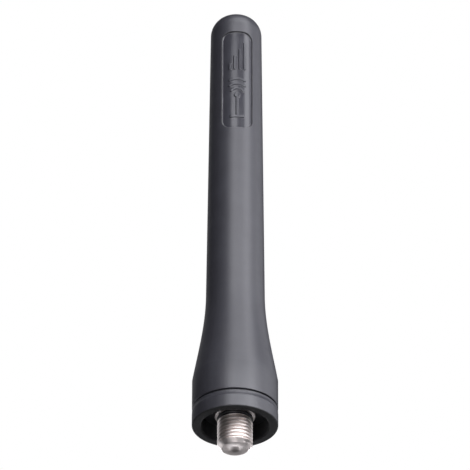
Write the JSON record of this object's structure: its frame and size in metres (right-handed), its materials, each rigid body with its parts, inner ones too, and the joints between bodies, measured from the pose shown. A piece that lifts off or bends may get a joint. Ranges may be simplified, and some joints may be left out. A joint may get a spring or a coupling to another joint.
{
  "type": "handheld radio antenna",
  "caption": "Short flexible helical antenna for a handheld radio: flared rubber sheath with a sunk label panel, a base ring and a threaded metal stud.",
  "frame": {"origin": "on the antenna's axis, in the plane of the base ring's rim, which seats on the radio's case", "axes": "+Z along the antenna towards its tip; the label panel faces -Y"},
  "size_m": [0.0154, 0.0154, 0.0923],
  "materials": {
    "sheath_rubber": "matte soft-touch moulding",
    "ring_rubber": "matte soft-touch moulding",
    "insert_nylon": "moulded black nylon",
    "stud_nickel": "turned brass, bright nickel plate",
    "seal_rubber": "black sealing rubber",
    "ferrule_brass": "turned brass",
    "solder": "tin solder, dull silver",
    "wire_copper": "copper-plated spring wire",
    "core_polyethylene": "natural polyethylene",
    "sleeve_shrink": "black heat-shrink tube",
    "plug_nylon": "natural nylon"
  },
  "bodies": {
    "root": {"sheath": "sheath_rubber", "base_ring": "ring_rubber", "base_insert": "insert_nylon", "threaded_stud": "stud_nickel", "seal_ring": "seal_rubber", "coil_ferrule": "ferrule_brass", "solder_ring": "solder", "helix_radiator": "wire_copper", "core_rod": "core_polyethylene", "shrink_sleeve": "sleeve_shrink", "tip_plug": "plug_nylon"}
  },
  "joints": []
}
